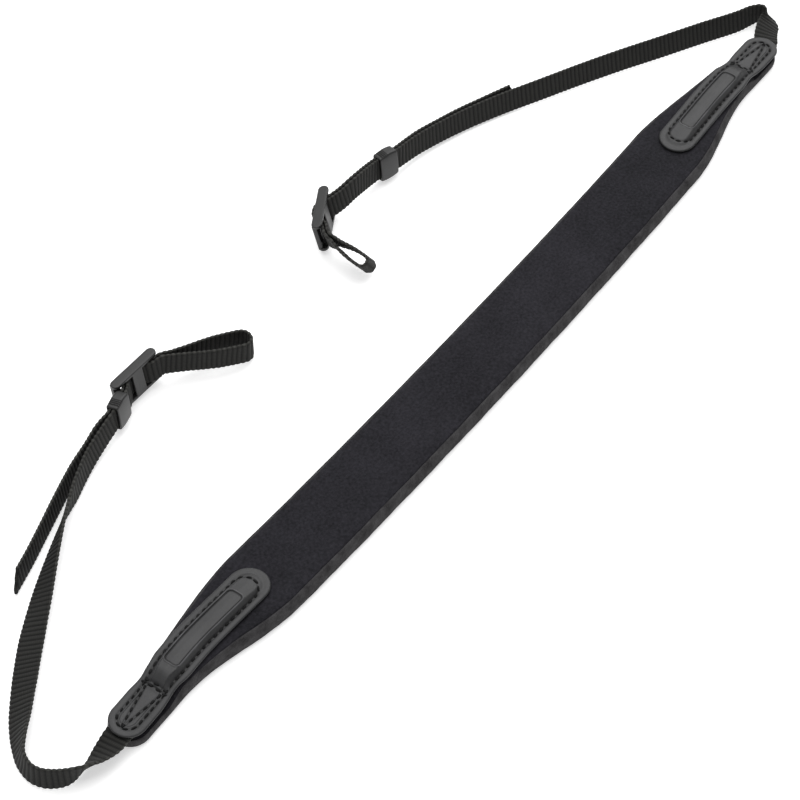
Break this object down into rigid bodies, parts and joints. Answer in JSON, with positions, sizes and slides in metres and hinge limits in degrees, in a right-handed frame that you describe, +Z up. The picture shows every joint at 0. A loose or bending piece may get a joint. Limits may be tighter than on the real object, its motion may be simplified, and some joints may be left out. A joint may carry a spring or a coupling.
{
  "type": "camera neck strap",
  "caption": "Camera neck strap: flared foam pad with sewn end tabs and narrow ribbed webbing that runs through keepers and tri-glides and loops for the camera's lugs.",
  "frame": {"origin": "middle of the pad's underside, on the surface that the strap lies on", "axes": "+X along the pad towards the end whose webbing turns back in one tight fold, +Y towards the side where both webbings lie, +Z up"},
  "size_m": [0.4608, 0.1114, 0.0156],
  "materials": {
    "pad_cloth": "matt knitted face over cut foam",
    "tab": "satin embossed sheet",
    "webbing": "cross-ribbed weave",
    "moulding": "satin moulded"
  },
  "bodies": {
    "root": {"neck_pad": "pad_cloth", "end_tab_left": "tab", "end_tab_right": "tab", "webbing_left": "webbing", "webbing_right": "webbing", "keeper_left": "moulding", "keeper_right": "moulding", "triglide_left": "moulding", "triglide_right": "moulding"}
  },
  "joints": []
}
